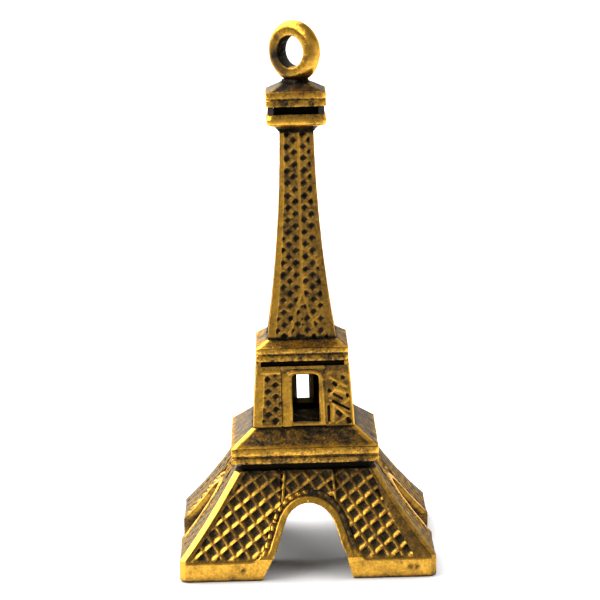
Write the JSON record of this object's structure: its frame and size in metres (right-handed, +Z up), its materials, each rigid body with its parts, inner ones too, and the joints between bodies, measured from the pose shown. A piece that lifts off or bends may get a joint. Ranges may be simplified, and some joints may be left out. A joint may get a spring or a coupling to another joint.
{
  "type": "lattice tower charm",
  "caption": "Small antique-gold lattice tower on four splayed legs with arches, two platforms, a tapering spire and a cast ring on top for hanging.",
  "frame": {"origin": "centre of the base on the plane of the feet", "axes": "+Z up the tower to the ring, -Y towards the front face, +X to the right seen from the front"},
  "size_m": [0.0116, 0.0116, 0.025],
  "materials": {
    "bright_gold": "antique gold plating, rubbed bright on edges and mouldings",
    "lattice_gold": "antique gold plating, dark patina in the pits of the lattice",
    "roof_gold": "darkened antique gold on the slopes",
    "patina": "near-black patina in the recesses"
  },
  "bodies": {
    "root": {"leg_front_left": "lattice_gold", "leg_front_right": "lattice_gold", "leg_back_left": "lattice_gold", "leg_back_right": "lattice_gold", "arch_front": "bright_gold", "arch_right": "bright_gold", "arch_back": "bright_gold", "arch_left": "bright_gold", "spandrel_front": "lattice_gold", "spandrel_right": "lattice_gold", "spandrel_back": "lattice_gold", "spandrel_left": "lattice_gold", "base_collar": "patina", "first_platform": "bright_gold", "first_roof": "roof_gold", "mid_post_front_left": "lattice_gold", "mid_post_front_right": "lattice_gold", "mid_post_back_left": "lattice_gold", "mid_post_back_right": "lattice_gold", "window_front": "bright_gold", "window_right": "bright_gold", "window_back": "bright_gold", "window_left": "bright_gold", "upper_collar": "patina", "second_platform": "bright_gold", "second_roof": "roof_gold", "spire_core": "patina", "spire_panel_front": "lattice_gold", "spire_panel_right": "lattice_gold", "spire_panel_back": "lattice_gold", "spire_panel_left": "lattice_gold", "cabin_floor": "bright_gold", "cabin_core": "patina", "cabin_corner_posts": "roof_gold", "cabin_cornice": "bright_gold", "cabin_roof": "roof_gold", "hanging_loop": "bright_gold"}
  },
  "joints": []
}
